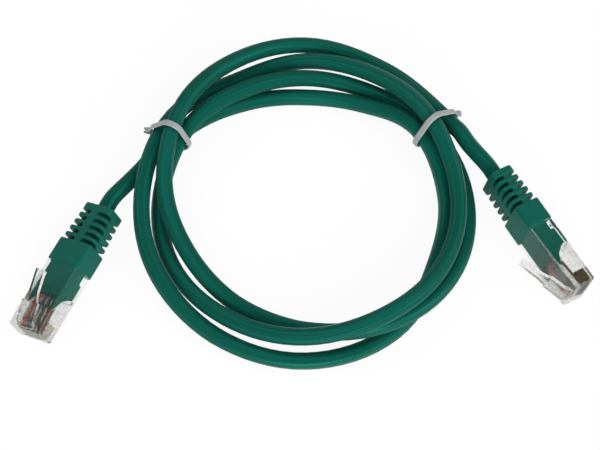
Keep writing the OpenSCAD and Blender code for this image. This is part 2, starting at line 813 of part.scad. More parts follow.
cable_coil();
lead_left();
lead_right();
tie_left();
tie_left_core();
tie_right();
tie_right_core();
housing_a();  // plug_a_housing
latch_a();  // plug_a_latch
contacts_a();  // plug_a_contacts
boot_a();  // plug_a_boot
jacket_a();  // plug_a_jacket
wire_a(1);  // plug_a_wire_1
wire_a(2);  // plug_a_wire_2
wire_a(3);  // plug_a_wire_3
wire_a(4);  // plug_a_wire_4
wire_a(5);  // plug_a_wire_5
wire_a(6);  // plug_a_wire_6
wire_a(7);  // plug_a_wire_7
wire_a(8);  // plug_a_wire_8
housing_b();  // plug_b_housing
latch_b();  // plug_b_latch
contacts_b();  // plug_b_contacts
boot_b();  // plug_b_boot
jacket_b();  // plug_b_jacket
wire_b(1);  // plug_b_wire_1
wire_b(2);  // plug_b_wire_2
wire_b(3);  // plug_b_wire_3
wire_b(4);  // plug_b_wire_4
wire_b(5);  // plug_b_wire_5
wire_b(6);  // plug_b_wire_6
wire_b(7);  // plug_b_wire_7
wire_b(8);  // plug_b_wire_8
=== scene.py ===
import math

import bmesh
import bpy
from mathutils import Matrix, Vector


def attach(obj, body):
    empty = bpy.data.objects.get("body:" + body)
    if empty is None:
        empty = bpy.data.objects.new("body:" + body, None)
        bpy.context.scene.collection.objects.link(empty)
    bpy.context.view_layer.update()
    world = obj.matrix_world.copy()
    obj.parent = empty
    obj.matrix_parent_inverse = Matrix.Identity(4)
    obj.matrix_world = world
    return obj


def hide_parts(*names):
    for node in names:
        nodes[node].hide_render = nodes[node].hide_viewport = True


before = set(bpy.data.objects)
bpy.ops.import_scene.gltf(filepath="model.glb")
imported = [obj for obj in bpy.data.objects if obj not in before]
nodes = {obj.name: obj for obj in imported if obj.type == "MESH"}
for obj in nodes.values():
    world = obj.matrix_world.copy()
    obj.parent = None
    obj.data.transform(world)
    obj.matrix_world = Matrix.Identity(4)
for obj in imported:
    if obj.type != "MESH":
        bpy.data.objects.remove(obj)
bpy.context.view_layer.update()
mm = 0.001
print("frame loaded:", len(nodes), "parts")


# camera

cameraSet = {
    "distance": 432,  # from the coil's middle, in millimetres as are all the routes below
    "elevation": 65,
    "lens": 84.1,
    "left": 1.65,  # of the coil's middle, as the camera sees it
    "below": 8.15,
    "sees": 20000,  # no further than this
}

coilMiddle = Vector((1.06, 21.61, 0))


def makeCamera(s):
    data = bpy.data.cameras.new("camera")
    data.lens = s["lens"]
    data.clip_end = s["sees"] * mm
    cam = bpy.data.objects.new("camera", data)
    bpy.context.collection.objects.link(cam)
    tilt = math.radians(90 - s["elevation"])
    cam.rotation_euler = (tilt, 0, 0)
    turn = Matrix.Rotation(tilt, 3, "X")
    cam.location = (coilMiddle + turn @ Vector((-s["left"], -s["below"], s["distance"]))) * mm
    bpy.context.scene.camera = cam


makeCamera(cameraSet)
print("camera placed")


# the cable's route, as the coil is wound

coil = {
    "diameter": 5.2,
    "startAngle": 150,
    "station": 30,  # degrees between the rows' values
    "reach": [
        43.4, 37.4, 34.4, 35.8, 40.0, 42.9, 45.2, 51.6, 53.8, 53.0, 51.8, 49.2,
        47.3, 45.4, 46.2, 44.8, 43.8, 46.0, 48.2, 49.8, 48.5, 47.2, 46.4, 44.2,
        41.0, 38.2, 39.7, 41.6, 45.0, 49.0, 51.4, 50.8, 44.4, 41.4, 40.8, 42.6,
        44.4, 48.4, 52.2, 50.4, 49.3,
    ],
    "lift": [
        1.6, 0.0, 0.0, 1.2, 5.2, 0.0, 0.0, 0.0, 0.0, 0.0, 4.0, 5.9,
        6.7, 1.4, 2.6, 5.9, 10.3, 5.4, 7.6, 12.6, 6.0, 2.2, 0.0, 0.5,
        7.1, 7.0, 3.0, 0.4, 1.5, 0.0, 2.2, 6.8, 0.4, 0.0, 3.2, 6.9,
        12.5, 7.8, 2.6, 1.4, 5.4,
    ],
    "reachEnds": (54, 59.5),  # before and after the row, to set how its ends slope
    "liftEnds": (-2, 4.8),
    "steps": 8,  # drawn points between two stations
    "nudge": 0.02,  # of a station, over which the cable's way is read
    "sides": 40,
    "lay": 85,  # of the four twisted pairs that show faintly through the jacket
    "lobeDepth": 0.1,
}

plugs = {
    "a": {"at": (-60.74, -7.26), "turn": -116.5, "roll": 23, "height": 6.0348},
    "b": {"at": (58.18, 3.96), "turn": -60, "roll": 79.5, "height": 6.6727},
}

leads = {  # places on the way to the plugs, with the height under the cable
    "left": [(-54.2, 3, 2.4), (-50.3, 8.5, 1.1)],
    "right": [(50.7, 14.5, 4.8)],
    "runIn": (2, 1),  # in cable widths, how far the lead and the coil keep one way
    "runOut": (1, 1.5),
    "steps": 6,
}


def smooth(a, b, c, d, t):  # from b to c as t goes from 0 to 1, with no kink at either
    bend, twist = 2 * a - 5 * b + 4 * c - d, 3 * b - 3 * c + d - a
    return b + t * (c - a) / 2 + t * t * bend / 2 + t ** 3 * twist / 2


def readRow(row, ends, s):  # the row's value at station s
    full = [ends[0]] + row + [ends[1]]
    i = min(int(s), len(row) - 2)
    return smooth(*full[i:i + 4], s - i)


def coilPoint(s):
    r = readRow(coil["reach"], coil["reachEnds"], s)
    h = max(0, readRow(coil["lift"], coil["liftEnds"], s)) + coil["diameter"] / 2
    a = math.radians(coil["startAngle"] - coil["station"] * s)
    return Vector((r * math.cos(a), r * math.sin(a), h))


def plugAt(p):
    return Vector((p["at"][0], p["at"][1], p["height"]))


def plugWay(p):
    a = math.radians(p["turn"])
    return Vector((math.cos(a), math.sin(a), 0))


def plugFrame(k):
    p = plugs[k]
    turn = Matrix.Rotation(math.radians(p["turn"]), 4, "Z")
    roll = Matrix.Rotation(math.radians(p["roll"]), 4, "X")
    return Matrix.Translation((coilMiddle + plugAt(p)) * mm) @ turn @ roll


lastStation = len(coil["reach"]) - 1


def coilEnds():  # how far the cable gets in one station, at the coil's start and at its end
    n, last = coil["nudge"], lastStation
    return (coilPoint(n) - coilPoint(0)) / n, (coilPoint(last) - coilPoint(last - n)) / n


def cableRoute():
    d = coil["diameter"]
    low = Vector((0, 0, d / 2))
    loops = [coilPoint(k / coil["steps"]) for k in range(lastStation * coil["steps"] + 1)]
    wayIn, wayOut = [v.normalized() for v in coilEnds()]
    a, b = plugs["a"], plugs["b"]
    left = [plugAt(a), plugAt(a) - d * plugWay(a)] + [low + Vector(v) for v in leads["left"]]
    left += [loops[0] - n * d * wayIn for n in leads["runIn"]] + [loops[0]]
    right = [loops[-1]] + [loops[-1] + n * d * wayOut for n in leads["runOut"]]
    right += [low + Vector(v) for v in leads["right"]] + [plugAt(b) - d * plugWay(b), plugAt(b)]
    return roundOff(left, leads["steps"])[:-1] + loops + roundOff(right, leads["steps"])[1:]


def roundOff(points, steps):  # a smooth line through the points
    full = [2 * points[0] - points[1]] + points + [2 * points[-1] - points[-2]]
    line = []
    for i in range(len(points) - 1):
        for k in range(steps):
            line.append(smooth(*full[i:i + 4], k / steps))
    return line + [points[-1]]


def lineLength(points):
    return sum((b - a).length for a, b in zip(points, points[1:]))


# geometry nodes

def nodeTree(name, treeKind, inputs, outputs):
    tree = bpy.data.node_groups.new(name, treeKind)
    for label, kind, value in inputs:
        socket = tree.interface.new_socket(label, in_out="INPUT", socket_type="NodeSocket" + kind)
        if value is not None:
            socket.default_value = value
    for label, kind in outputs:
        tree.interface.new_socket(label, in_out="OUTPUT", socket_type="NodeSocket" + kind)
    return tree, tree.nodes.new("NodeGroupInput"), tree.nodes.new("NodeGroupOutput")


def geoTree(name, sizes):
    inputs = [("Path", "Geometry", None)] + sizes
    return nodeTree(name, "GeometryNodeTree", inputs, [("Mesh", "Geometry")])


def addNode(tree, kind, inputs=None, **settings):  # an input is a value or another node's output
    n = tree.nodes.new(kind)
    for key, value in settings.items():
        setattr(n, key, value)
    for label, value in (inputs or {}).items():
        if isinstance(value, bpy.types.NodeSocket):
            tree.links.new(value, n.inputs[label])
        else:
            n.inputs[label].default_value = value
    return n


def mathIn(tree):  # a short way to write sums in a tree
    def calc(kind, *values):
        n = addNode(tree, "ShaderNodeMath", dict(enumerate(values)), operation=kind)
        return n.outputs["Value"]
    return calc


def runTree(name, tree, points, values, rings=None):
    # rings hold the way that the section's width points, one for each point
    mesh = bpy.data.meshes.new(name)
    mesh.from_pydata([p * mm for p in points], [(i, i + 1) for i in range(len(points) - 1)], [])
    if rings:
        wide = mesh.attributes.new("wide", "FLOAT_VECTOR", "POINT")
        for i, v in enumerate(rings):
            wide.data[i].vector = v
    obj = bpy.data.objects.new(name, mesh)
    bpy.context.collection.objects.link(obj)
    mod = obj.modifiers.new("build", "NODES")
    mod.node_group = tree
    for item in tree.interface.items_tree:
        if item.item_type == "SOCKET" and item.in_out == "INPUT" and item.name in values:
            mod[item.identifier] = values[item.name]
    bpy.context.view_layer.update()
    deps = bpy.context.evaluated_depsgraph_get()
    done = bpy.data.meshes.new_from_object(obj.evaluated_get(deps), depsgraph=deps)
    obj.modifiers.remove(mod)
    obj.data = done
    bpy.data.meshes.remove(mesh)
    done.name = name
    return obj


def smoothAndPaint(tree, into, out, mesh):
    shade = addNode(tree, "GeometryNodeSetShadeSmooth", {"Geometry": mesh})
    real = addNode(tree, "GeometryNodeRealizeInstances", {"Geometry": shade.outputs["Geometry"]})
    paint = addNode(tree, "GeometryNodeSetMaterial", {
        "Geometry": real.outputs["Geometry"], "Material": into.outputs["Material"]})
    tree.links.new(paint.outputs["Geometry"], out.inputs["Mesh"])
    return tree


def keepValue(tree, curve, label, value):  # as it is at the curve's own points
    n = addNode(tree, "GeometryNodeCaptureAttribute", {"Geometry": curve}, domain="POINT")
    n.capture_items.new("FLOAT", label)
    tree.links.new(value, n.inputs[label])
    return n.outputs["Geometry"], n.outputs[label]


def tubeTree():  # round, or with shallow lobes that wind along it as the cores inside do
    tree, into, out = geoTree("tubeAlongPath", [
        ("Radius", "Float", 0.0026), ("Sides", "Int", 24), ("Material", "Material", None),
        ("Lobes", "Int", 4), ("Lay", "Float", 0.08), ("Lobe Depth", "Float", 0),
    ])
    asked, calc = into.outputs, mathIn(tree)
    spline = addNode(tree, "GeometryNodeSplineParameter")
    path = addNode(tree, "GeometryNodeMeshToCurve", {"Mesh": asked["Path"]})
    path, along = keepValue(tree, path.outputs["Curve"], "Along", spline.outputs["Length"])
    ring = addNode(tree, "GeometryNodeCurvePrimitiveCircle", {
        "Radius": asked["Radius"], "Resolution": asked["Sides"]})
    ring, around = keepValue(tree, ring.outputs["Curve"], "Round", spline.outputs["Factor"])
    skin = addNode(tree, "GeometryNodeCurveToMesh", {
        "Curve": path, "Profile Curve": ring, "Fill Caps": True})
    both = addNode(tree, "ShaderNodeCombineXYZ", {"X": along, "Y": around})
    store = addNode(tree, "GeometryNodeStoreNamedAttribute", {
        "Geometry": skin.outputs["Mesh"], "Name": "pathPlace", "Value": both.outputs["Vector"]},
        data_type="FLOAT_VECTOR")
    lobe = calc("ADD", calc("MULTIPLY", around, asked["Lobes"]), calc("DIVIDE", along, asked["Lay"]))
    wave = calc("SUBTRACT", calc("COSINE", calc("MULTIPLY", lobe, 2 * math.pi)), 1)
    sink = calc("MULTIPLY", wave, calc("DIVIDE", asked["Lobe Depth"], 2))
    normal = addNode(tree, "GeometryNodeInputNormal")
    inward = addNode(tree, "ShaderNodeVectorMath", {
        "Vector": normal.outputs["Normal"], "Scale": sink}, operation="SCALE")
    press = addNode(tree, "GeometryNodeSetPosition", {
        "Geometry": store.outputs["Geometry"], "Offset": inward.outputs["Vector"]})
    return smoothAndPaint(tree, into, out, press.outputs["Geometry"])


def ribbonTree():  # a flat strip with a groove along its middle, turned by the path's own "wide"
    tree, into, out = geoTree("ribbonAlongPath", [
        ("Width", "Float", 0.002), ("Thickness", "Float", 0.0009), ("Groove", "Float", 0.3),
        ("Sides", "Int", 32), ("Material", "Material", None),
    ])
    asked, calc = into.outputs, mathIn(tree)
    path = addNode(tree, "GeometryNodeMeshToCurve", {"Mesh": asked["Path"]})
    wide = addNode(tree, "GeometryNodeInputNamedAttribute", {"Name": "wide"},
                   data_type="FLOAT_VECTOR")
    turn = addNode(tree, "GeometryNodeSetCurveNormal", {
        "Curve": path.outputs["Curve"], "Normal": wide.outputs["Attribute"]}, mode="FREE")
    ring = addNode(tree, "GeometryNodeCurvePrimitiveCircle", {
        "Radius": 1, "Resolution": asked["Sides"]})
    place = addNode(tree, "GeometryNodeInputPosition")
    apart = addNode(tree, "ShaderNodeSeparateXYZ", {"Vector": place.outputs["Position"]})
    lobe = calc("ABSOLUTE", calc("SINE", calc("MULTIPLY", apart.outputs["X"], math.pi)))
    press = calc("SUBTRACT", 1, calc("MULTIPLY", asked["Groove"], calc("SUBTRACT", 1, lobe)))
    x = calc("MULTIPLY", apart.outputs["X"], calc("DIVIDE", asked["Width"], 2))
    y = calc("MULTIPLY", apart.outputs["Y"], press)
    y = calc("MULTIPLY", y, calc("DIVIDE", asked["Thickness"], 2))
    section = addNode(tree, "ShaderNodeCombineXYZ", {"X": x, "Y": y})
    shape = addNode(tree, "GeometryNodeSetPosition", {
        "Geometry": ring.outputs["Curve"], "Position": section.outputs["Vector"]})
    skin = addNode(tree, "GeometryNodeCurveToMesh", {
        "Curve": turn.outputs["Curve"], "Profile Curve": shape.outputs["Geometry"],
        "Fill Caps": True})
    return smoothAndPaint(tree, into, out, skin.outputs["Mesh"])


# shared surface effects

fineBump = 0.0001
streakBump = 0.0002
streakSpan = (0.42, 0.66)  # of the noise, from no streak to a full one
spotSpan = (0.35, 0.65)
patchDetail = 3  # finer and finer layers of noise
spotDetail = 4


def effect(name, inputs):
    outputs = [("Color", "Color"), ("Roughness", "Float"), ("Normal", "Vector")]
    return nodeTree(name, "ShaderNodeTree", inputs, outputs)


def sendOut(tree, out, *results):
    for label, result in zip(("Color", "Roughness", "Normal"), results):
        tree.links.new(result, out.inputs[label])
    return tree


def noiseOn(tree, place, scale, detail=2):
    return addNode(tree, "ShaderNodeTexNoise", {
        "Vector": place, "Scale": scale, "Detail": detail}).outputs["Fac"]


def sharpen(tree, value, span):  # 0 under this span of the value, 1 over it
    return addNode(tree, "ShaderNodeMapRange", {
        "Value": value, "From Min": span[0], "From Max": span[1]},
        interpolation_type="SMOOTHSTEP").outputs["Result"]


def between(tree, share, low, high):  # low at no share, high at a full one
    return addNode(tree, "ShaderNodeMapRange", {
        "Value": share, "To Min": low, "To Max": high}).outputs["Result"]


def mixColour(tree, share, a, b):
    return addNode(tree, "ShaderNodeMix", {
        "Factor": share, "A": a, "B": b}, data_type="RGBA").outputs["Result"]


def raised(tree, height, depth, distance):  # how the surface leans where it is uneven
    return addNode(tree, "ShaderNodeBump", {
        "Height": height, "Strength": depth, "Distance": distance}).outputs["Normal"]


def onPath(tree):  # how far along its path a point lies, and how far round it
    path = addNode(tree, "ShaderNodeAttribute", attribute_name="pathPlace")
    apart = addNode(tree, "ShaderNodeSeparateXYZ", {"Vector": path.outputs["Vector"]})
    return apart.outputs["X"], apart.outputs["Y"]


def mouldedSkin():  # faint unevenness of moulded plastic, on the piece's own coordinates
    tree, into, out = effect(
        "mouldedSkin",
        [("Scale", "Float", 900), ("Patches", "Float", 90), ("Depth", "Float", 0.1),
         ("Dark", "Color", (0, 0, 0, 1)), ("Light", "Color", (1, 1, 1, 1)),
         ("Gloss Low", "Float", 0.35), ("Gloss High", "Float", 0.45)])
    asked = into.outputs
    place = addNode(tree, "ShaderNodeTexCoord").outputs["Object"]
    fine = noiseOn(tree, place, asked["Scale"])
    broad = noiseOn(tree, place, asked["Patches"], patchDetail)
    colour = mixColour(tree, broad, asked["Dark"], asked["Light"])
    rough = between(tree, fine, asked["Gloss Low"], asked["Gloss High"])
    return sendOut(tree, out, colour, rough, raised(tree, fine, asked["Depth"], fineBump))


def jacketGlossAndSheen():  # long faint streaks on the cord's own path: glossier, as an extruded jacket has, and lighter in colour there, which is a painted sheen
    tree, into, out = effect(
        "jacketGlossAndSheen",
        [("Stretch", "Float", 30), ("Streaks", "Float", 2.5), ("Depth", "Float", 0.1),
         ("Dark", "Color", (0, 0, 0, 1)), ("Light", "Color", (1, 1, 1, 1)),
         ("Gloss Low", "Float", 0.45), ("Gloss High", "Float", 0.75)])
    asked, calc = into.outputs, mathIn(tree)
    along, around = onPath(tree)
    turn = calc("MULTIPLY", around, 2 * math.pi)
    spot = addNode(tree, "ShaderNodeCombineXYZ", {
        "X": calc("MULTIPLY", along, asked["Stretch"]),
        "Y": calc("MULTIPLY", calc("COSINE", turn), asked["Streaks"]),
        "Z": calc("MULTIPLY", calc("SINE", turn), asked["Streaks"])})
    grain = noiseOn(tree, spot.outputs["Vector"], 1, patchDetail)
    streak = sharpen(tree, grain, streakSpan)
    # painted sheen: the streaks take the lighter colour
    colour = mixColour(tree, streak, asked["Dark"], asked["Light"])
    rough = between(tree, streak, asked["Gloss High"], asked["Gloss Low"])
    return sendOut(tree, out, colour, rough, raised(tree, grain, asked["Depth"], streakBump))


skinEffect = mouldedSkin()
jacketEffect = jacketGlossAndSheen()


def plainMaterial(name, settings):
    mat = bpy.data.materials.new(name)
    mat.use_nodes = True
    shader = mat.node_tree.nodes["Principled BSDF"]
    for key, value in settings.items():
        shader.inputs[key].default_value = value
    return mat, shader


def effectMaterial(name, group, look, settings):
    mat, shader = plainMaterial(name, settings)
    tree = mat.node_tree
    look = {k: (*v, 1) if isinstance(v, (tuple, list)) else v for k, v in look.items()}
    skin = addNode(tree, "ShaderNodeGroup", look, node_tree=group)
    for given, taken in (("Color", "Base Color"), ("Roughness", "Roughness"), ("Normal", "Normal")):
        tree.links.new(skin.outputs[given], shader.inputs[taken])
    return mat


def blendOver(mat, share, second):  # the second shader over the material's own
    tree = mat.node_tree
    own = tree.nodes["Principled BSDF"].outputs["BSDF"]
    mix = addNode(tree, "ShaderNodeMixShader", {"Fac": share, 1: own, 2: second})
    tree.links.new(mix.outputs["Shader"], tree.nodes["Material Output"].inputs["Surface"])


def mouldedClear():  # clear where the wall is thin, mottled and duller where the plug is solid
    tree, into, out = effect(
        "mouldedClear",
        [("Thin", "Color", (1, 1, 1, 1)), ("Thick Dark", "Color", (0.7, 0.7, 0.7, 1)),
         ("Thick Light", "Color", (0.9, 0.9, 0.9, 1)), ("Thin Gloss", "Float", 0.05),
         ("Thick Gloss", "Float", 0.2), ("Mottle", "Float", 900), ("Depth", "Float", 0.1)])
    asked, calc = into.outputs, mathIn(tree)
    place = addNode(tree, "ShaderNodeTexCoord").outputs["Object"]
    solid = addNode(tree, "ShaderNodeAttribute", attribute_name="solidShare").outputs["Fac"]
    mottle = noiseOn(tree, place, asked["Mottle"], spotDetail)
    spots = sharpen(tree, mottle, spotSpan)
    thick = mixColour(tree, spots, asked["Thick Dark"], asked["Thick Light"])
    colour = mixColour(tree, solid, asked["Thin"], thick)
    rough = between(tree, solid, asked["Thin Gloss"], asked["Thick Gloss"])
    height = calc("MULTIPLY", mottle, solid)
    return sendOut(tree, out, colour, rough, raised(tree, height, asked["Depth"], fineBump))


def clearPlastic(name, s):
    mat = effectMaterial(name, mouldedClear(), {
        "Thin": s["thin"], "Thick Dark": s["thickDark"], "Thick Light": s["thickLight"],
        "Thin Gloss": s["thinGloss"], "Thick Gloss": s["thickGloss"], "Mottle": s["mottle"],
        "Depth": s["depth"]},
        {"IOR": s["ior"], "Specular Tint": s["shine"], "Transmission Weight": 1.0})
    tree = mat.node_tree
    ray, calc = addNode(tree, "ShaderNodeLightPath").outputs, mathIn(tree)
    straight = calc("MAXIMUM", ray["Is Shadow Ray"], ray["Is Diffuse Ray"])
    bare = addNode(tree, "ShaderNodeBsdfTransparent", {"Color": (*s["shade"], 1)})
    blendOver(mat, straight, bare.outputs["BSDF"])  # so that light reaches what lies inside
    return mat


shell = {
    "thin": (0.98, 0.99, 0.985),
    "thickDark": (0.5, 0.5, 0.48),
    "thickLight": (0.9, 0.9, 0.88),
    "thinGloss": 0.06,
    "thickGloss": 0.34,
    "mottle": 1500,
    "depth": 0.35,
    "ior": 1.17,
    "shine": (0.5, 0.5, 0.5, 1),
    "shade": (0.93, 0.95, 0.94),  # what one wall lets through of the light
}

greenShine = {"IOR": 1.45, "Specular IOR Level": 0.45, "Specular Tint": (0.1, 1.0, 0.88, 1)}
filmShine = {"IOR": 1.46, "Specular IOR Level": 0.4}
steelShine = {"Metallic": 1.0}

# the cable's lighter colour is a painted sheen along its gloss streaks
cableLook = {
    "Dark": (0.0018, 0.06, 0.04), "Light": (0.003, 0.078, 0.053),
    "Gloss Low": 0.34, "Gloss High": 0.74, "Stretch": 16, "Streaks": 2.8, "Depth": 0.8,
}
bootLook = {
    "Dark": (0.003, 0.072, 0.05), "Light": (0.0045, 0.088, 0.062),
    "Gloss Low": 0.45, "Gloss High": 0.58, "Depth": 0.15, "Scale": 900,
}
filmLook = {
    "Dark": (0.26, 0.28, 0.27), "Light": (0.33, 0.35, 0.34),
    "Gloss Low": 0.3, "Gloss High": 0.42, "Depth": 0.1, "Scale": 900,
}
steelLook = {
    "Dark": (0.36, 0.36, 0.36), "Light": (0.45, 0.45, 0.45),
    "Gloss Low": 0.28, "Gloss High": 0.42, "Depth": 0.1, "Scale": 1500,
}
bladePaintedLightLooks = {  # painted light: plug a's blade colours are a painted highlight, plug b's are painted shade on their dark flanks
    "a": {"Dark": (0.6, 0.55, 0.45), "Light": (0.85, 0.81, 0.7),
          "Gloss Low": 0.22, "Gloss High": 0.36, "Depth": 0.1, "Scale": 1500},
    "b": {"Dark": (0.02, 0.014, 0.008), "Light": (0.3, 0.23, 0.14),
          "Gloss Low": 0.3, "Gloss High": 0.5, "Depth": 0.25, "Scale": 1500, "Patches": 1400},
}

cablePvc = effectMaterial("cablePvc", jacketEffect, cableLook, greenShine)
bootPvc = effectMaterial("bootPvc", skinEffect, bootLook, greenShine)
tieFilm = effectMaterial("tieFilm", skinEffect, filmLook, filmShine)
tieSteel = effectMaterial("tieSteel", skinEffect, steelLook, steelShine)
clearShell = clearPlastic("clearShell", shell)
# the blade materials carry painted light: a painted highlight on plug a's, painted shade on plug b's
paintedLightBlades = {k: effectMaterial(f"painted_light_blades_{k}", skinEffect, look, steelShine)
          for k, look in bladePaintedLightLooks.items()}


# the cord

route = cableRoute()
tube = tubeTree()
cord = runTree("cable", tube, [p + coilMiddle for p in route], {
    "Radius": coil["diameter"] / 2 * mm, "Sides": coil["sides"], "Lay": coil["lay"] * mm,
    "Lobe Depth": coil["lobeDepth"] * mm, "Material": cablePvc})
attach(cord, "cable")
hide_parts("cable_coil", "lead_left", "lead_right")
cordLength = lineLength(route) * mm
print("cord laid:", round(cordLength, 3), "m")


# twist ties, wound over the cable as it really curves

ties = {  # "stations" tells where on the coil the bound strands lie
    "left": {"foot": (-40.8, 16.5), "way": 158, "stations": (12, 36, 24, 0)},
    "right": {"foot": (40.6, 20.9), "way": 38, "stations": (40, 16, 4, 28)},
}

ribbon = {
    "width": 2,
    "thickness": 0.9,
    "groove": 0.35,
    "core": 0.45,
    "gap": 0.3,  # off the cable
    "sides": 32,
    "coreSides": 12,
    "foldRadius": 0.9,
    "tailWay": -22,  # degrees, how far the tail hangs under the level
    "tail": 1.5,  # how far it hangs past its foot
    "tailFoot": 4.5,  # from the cable's middle to where the two ends meet
    "tailHalf": 24,  # degrees, from the tail to where each end leaves the cable
    "tailPair": 0.53,  # from the tail's middle line to each of its two ends
    "tailTwist": 55,
    "tailSteps": 8,
    "foldSteps": 10,
    "leaveAt": -10,  # about where the ribbon leaves the last strand for a fold
    "arcSteps": 12,
    "halvings": 18,  # of a station, to find where the cable passes
    "lean": 0.1,  # of a station, over which its lean there is read
}


def rad(a):  # one millimetre out, at a degrees
    return Vector((math.cos(math.radians(a)), math.sin(math.radians(a))))


def bearing(v):
    return math.degrees(math.atan2(v.y, v.x))


def turnTo(a, b):  # degrees from a to b, turning left
    return (b - a + 720) % 360


def strand(s):  # the coil's middle line, straight beyond its ends
    wayIn, wayOut = coilEnds()
    if s < 0:
        return coilPoint(0) + s * wayIn
    if s > lastStation:
        return coilPoint(lastStation) + (s - lastStation) * wayOut
    return coilPoint(s)


def crossing(n, foot, way):  # where the cable passes the tie's plane, and how it leans there
    low, high = n - 1, n + 1
    for _ in range(ribbon["halvings"]):
        mid = (low + high) / 2
        if way.cross(strand(mid).xy - foot) * way.cross(strand(low).xy - foot) > 0:
            low = mid
        else:
            high = mid
    p = strand(low)
    d = strand(low + ribbon["lean"]) - strand(low - ribbon["lean"])
    lean = Vector((d.xy.dot(way), d.z)) / abs(way.cross(d.xy))
    return Vector(((p.xy - foot).dot(way), p.z)), lean


def beltRadius(c, a):  # a strand that leans needs more room
    q = abs(c[1].dot(rad(a)))
    return (coil["diameter"] / 2 * math.sqrt(1 + q * q) + q * ribbon["width"] / 2
            + ribbon["gap"] + ribbon["thickness"] / 2)


def beltArc(c, start, end):  # round one strand
    steps = ribbon["arcSteps"]
    angles = [start + turnTo(start, end) * k / steps for k in range(steps + 1)]
    return [c[0] + beltRadius(c, a) * rad(a) for a in angles]


def belt(c):  # round all strands in turn, from the tail and back to it
    last = len(c) - 1
    half, fold, turns = ribbon["tailHalf"], ribbon["foldRadius"], ribbon["foldSteps"]
    tailWay = ribbon["tailWay"]
    edge = [bearing(c[(i + 1) % len(c)][0] - c[i][0]) - 90 for i in range(len(c))]
    line = beltArc(c[0], tailWay + half, edge[0])
    for i in range(1, last):
        line += beltArc(c[i], edge[i - 1], edge[i])
    if turnTo(edge[last], tailWay - half) <= 180:
        line += beltArc(c[last], edge[last - 1], edge[last])
        return line + beltArc(c[0], edge[last], tailWay - half)
    # the tail hangs below the edge, so the end folds the other way
    middle = (c[0][0] + ribbon["tailFoot"] * rad(tailWay) - ribbon["tailPair"] * rad(tailWay + 90)
              + fold * rad(tailWay - 90))
    gap = middle - c[last][0]
    apart = (beltRadius(c[last], ribbon["leaveAt"]) + fold) / gap.length
    leave = bearing(gap) + math.degrees(math.asin(apart)) - 90
    line += beltArc(c[last], edge[last - 1], leave)
    sweep = turnTo(tailWay + 90, leave + 180)
    return line + [middle + fold * rad(leave + 180 - sweep * k / turns) for k in range(turns)]


def tieRoute(t):  # the ribbon's points, each with the way that its width lies
    way, foot = rad(t["way"]), Vector(t["foot"])
    out, up, across = way.to_3d(), Vector((0, 0, 1)), Vector((way.y, -way.x, 0))
    c = [crossing(n, foot, way) for n in t["stations"]]
    base = coilMiddle + foot.to_3d()
    along, side = rad(ribbon["tailWay"]), rad(ribbon["tailWay"] + 90)
    steps = ribbon["tailSteps"]

    def tailEnd(k, sign):
        turned = math.radians(ribbon["tailTwist"] * k / steps)
        at = c[0][0] + (ribbon["tailFoot"] + ribbon["tail"] * k / steps) * along
        normal = (side.x * out + side.y * up) * math.cos(turned) + across * math.sin(turned)
        wide = -(side.x * out + side.y * up) * math.sin(turned) + across * math.cos(turned)
        return base + at.x * out + at.y * up + sign * ribbon["tailPair"] * normal, wide

    middle = [(base + p.x * out + p.y * up, across) for p in belt(c)]
    upper = [tailEnd(k, 1) for k in range(steps, -1, -1)]
    return upper + middle + [tailEnd(k, -1) for k in range(steps + 1)]


strip = ribbonTree()
for side, t in ties.items():
    points, rings = zip(*tieRoute(t))
    film = runTree(f"tie_{side}_film", strip, points, {
        "Width": ribbon["width"] * mm, "Thickness": ribbon["thickness"] * mm,
        "Groove": ribbon["groove"], "Sides": ribbon["sides"], "Material": tieFilm}, rings)
    wire = runTree(f"tie_{side}_wire", tube, points, {
        "Radius": ribbon["core"] / 2 * mm, "Sides": ribbon["coreSides"], "Material": tieSteel})
    for piece, node in ((film, f"tie_{side}"), (wire, f"tie_{side}_core")):
        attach(piece, "cable")
        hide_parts(node)
print("ties wound")


# conductors, seen through the clear housings

pairColours = {
    "orange": (0.5, 0.11, 0.05),
    "green": (0.045, 0.13, 0.07),
    "blue": (0.065, 0.075, 0.18),
    "brown": (0.1, 0.045, 0.03),
}
wireWhite = (0.42, 0.38, 0.35)
wireLook = {"Gloss Low": 0.32, "Gloss High": 0.42, "Depth": 0.1, "Scale": 1500}
wireDark = 0.88  # of its colour, where a wire is darkest


def spiralStripe():  # a coloured line that winds round a wire, on the wire's own path
    inputs = [("Pitch", "Float", 0.006), ("Share", "Float", 0.3)]
    tree, into, out = nodeTree("spiralStripe", "ShaderNodeTree", inputs, [("Mask", "Float")])
    asked, calc = into.outputs, mathIn(tree)
    along, around = onPath(tree)
    part = calc("FRACT", calc("ADD", calc("DIVIDE", along, asked["Pitch"]), around))
    tree.links.new(calc("LESS_THAN", part, asked["Share"]), out.inputs["Mask"])
    return tree


stripeEffect = spiralStripe()


def wireMaterial(name, rgb, striped):
    ground = wireWhite if striped else rgb
    look = {**wireLook, "Dark": [wireDark * c for c in ground], "Light": ground}
    mat = effectMaterial(name, skinEffect, look, {})
    if striped:
        tree = mat.node_tree
        base = tree.nodes["Principled BSDF"].inputs["Base Color"]
        stripe = addNode(tree, "ShaderNodeGroup", node_tree=stripeEffect)
        colour = mixColour(tree, stripe.outputs["Mask"], base.links[0].from_socket, (*rgb, 1))
        tree.links.new(colour, base)
    return mat


pairMats = {}
for name, rgb in pairColours.items():
    for striped in (True, False):
        label = "wire_white_" + name if striped else "wire_" + name
        pairMats[name, striped] = wireMaterial(label, rgb, striped)
wireOrder = [("orange", True), ("orange", False), ("green", True), ("blue", False),
             ("blue", True), ("green", False), ("brown", True), ("brown", False)]
wireMats = [pairMats[w] for w in wireOrder]

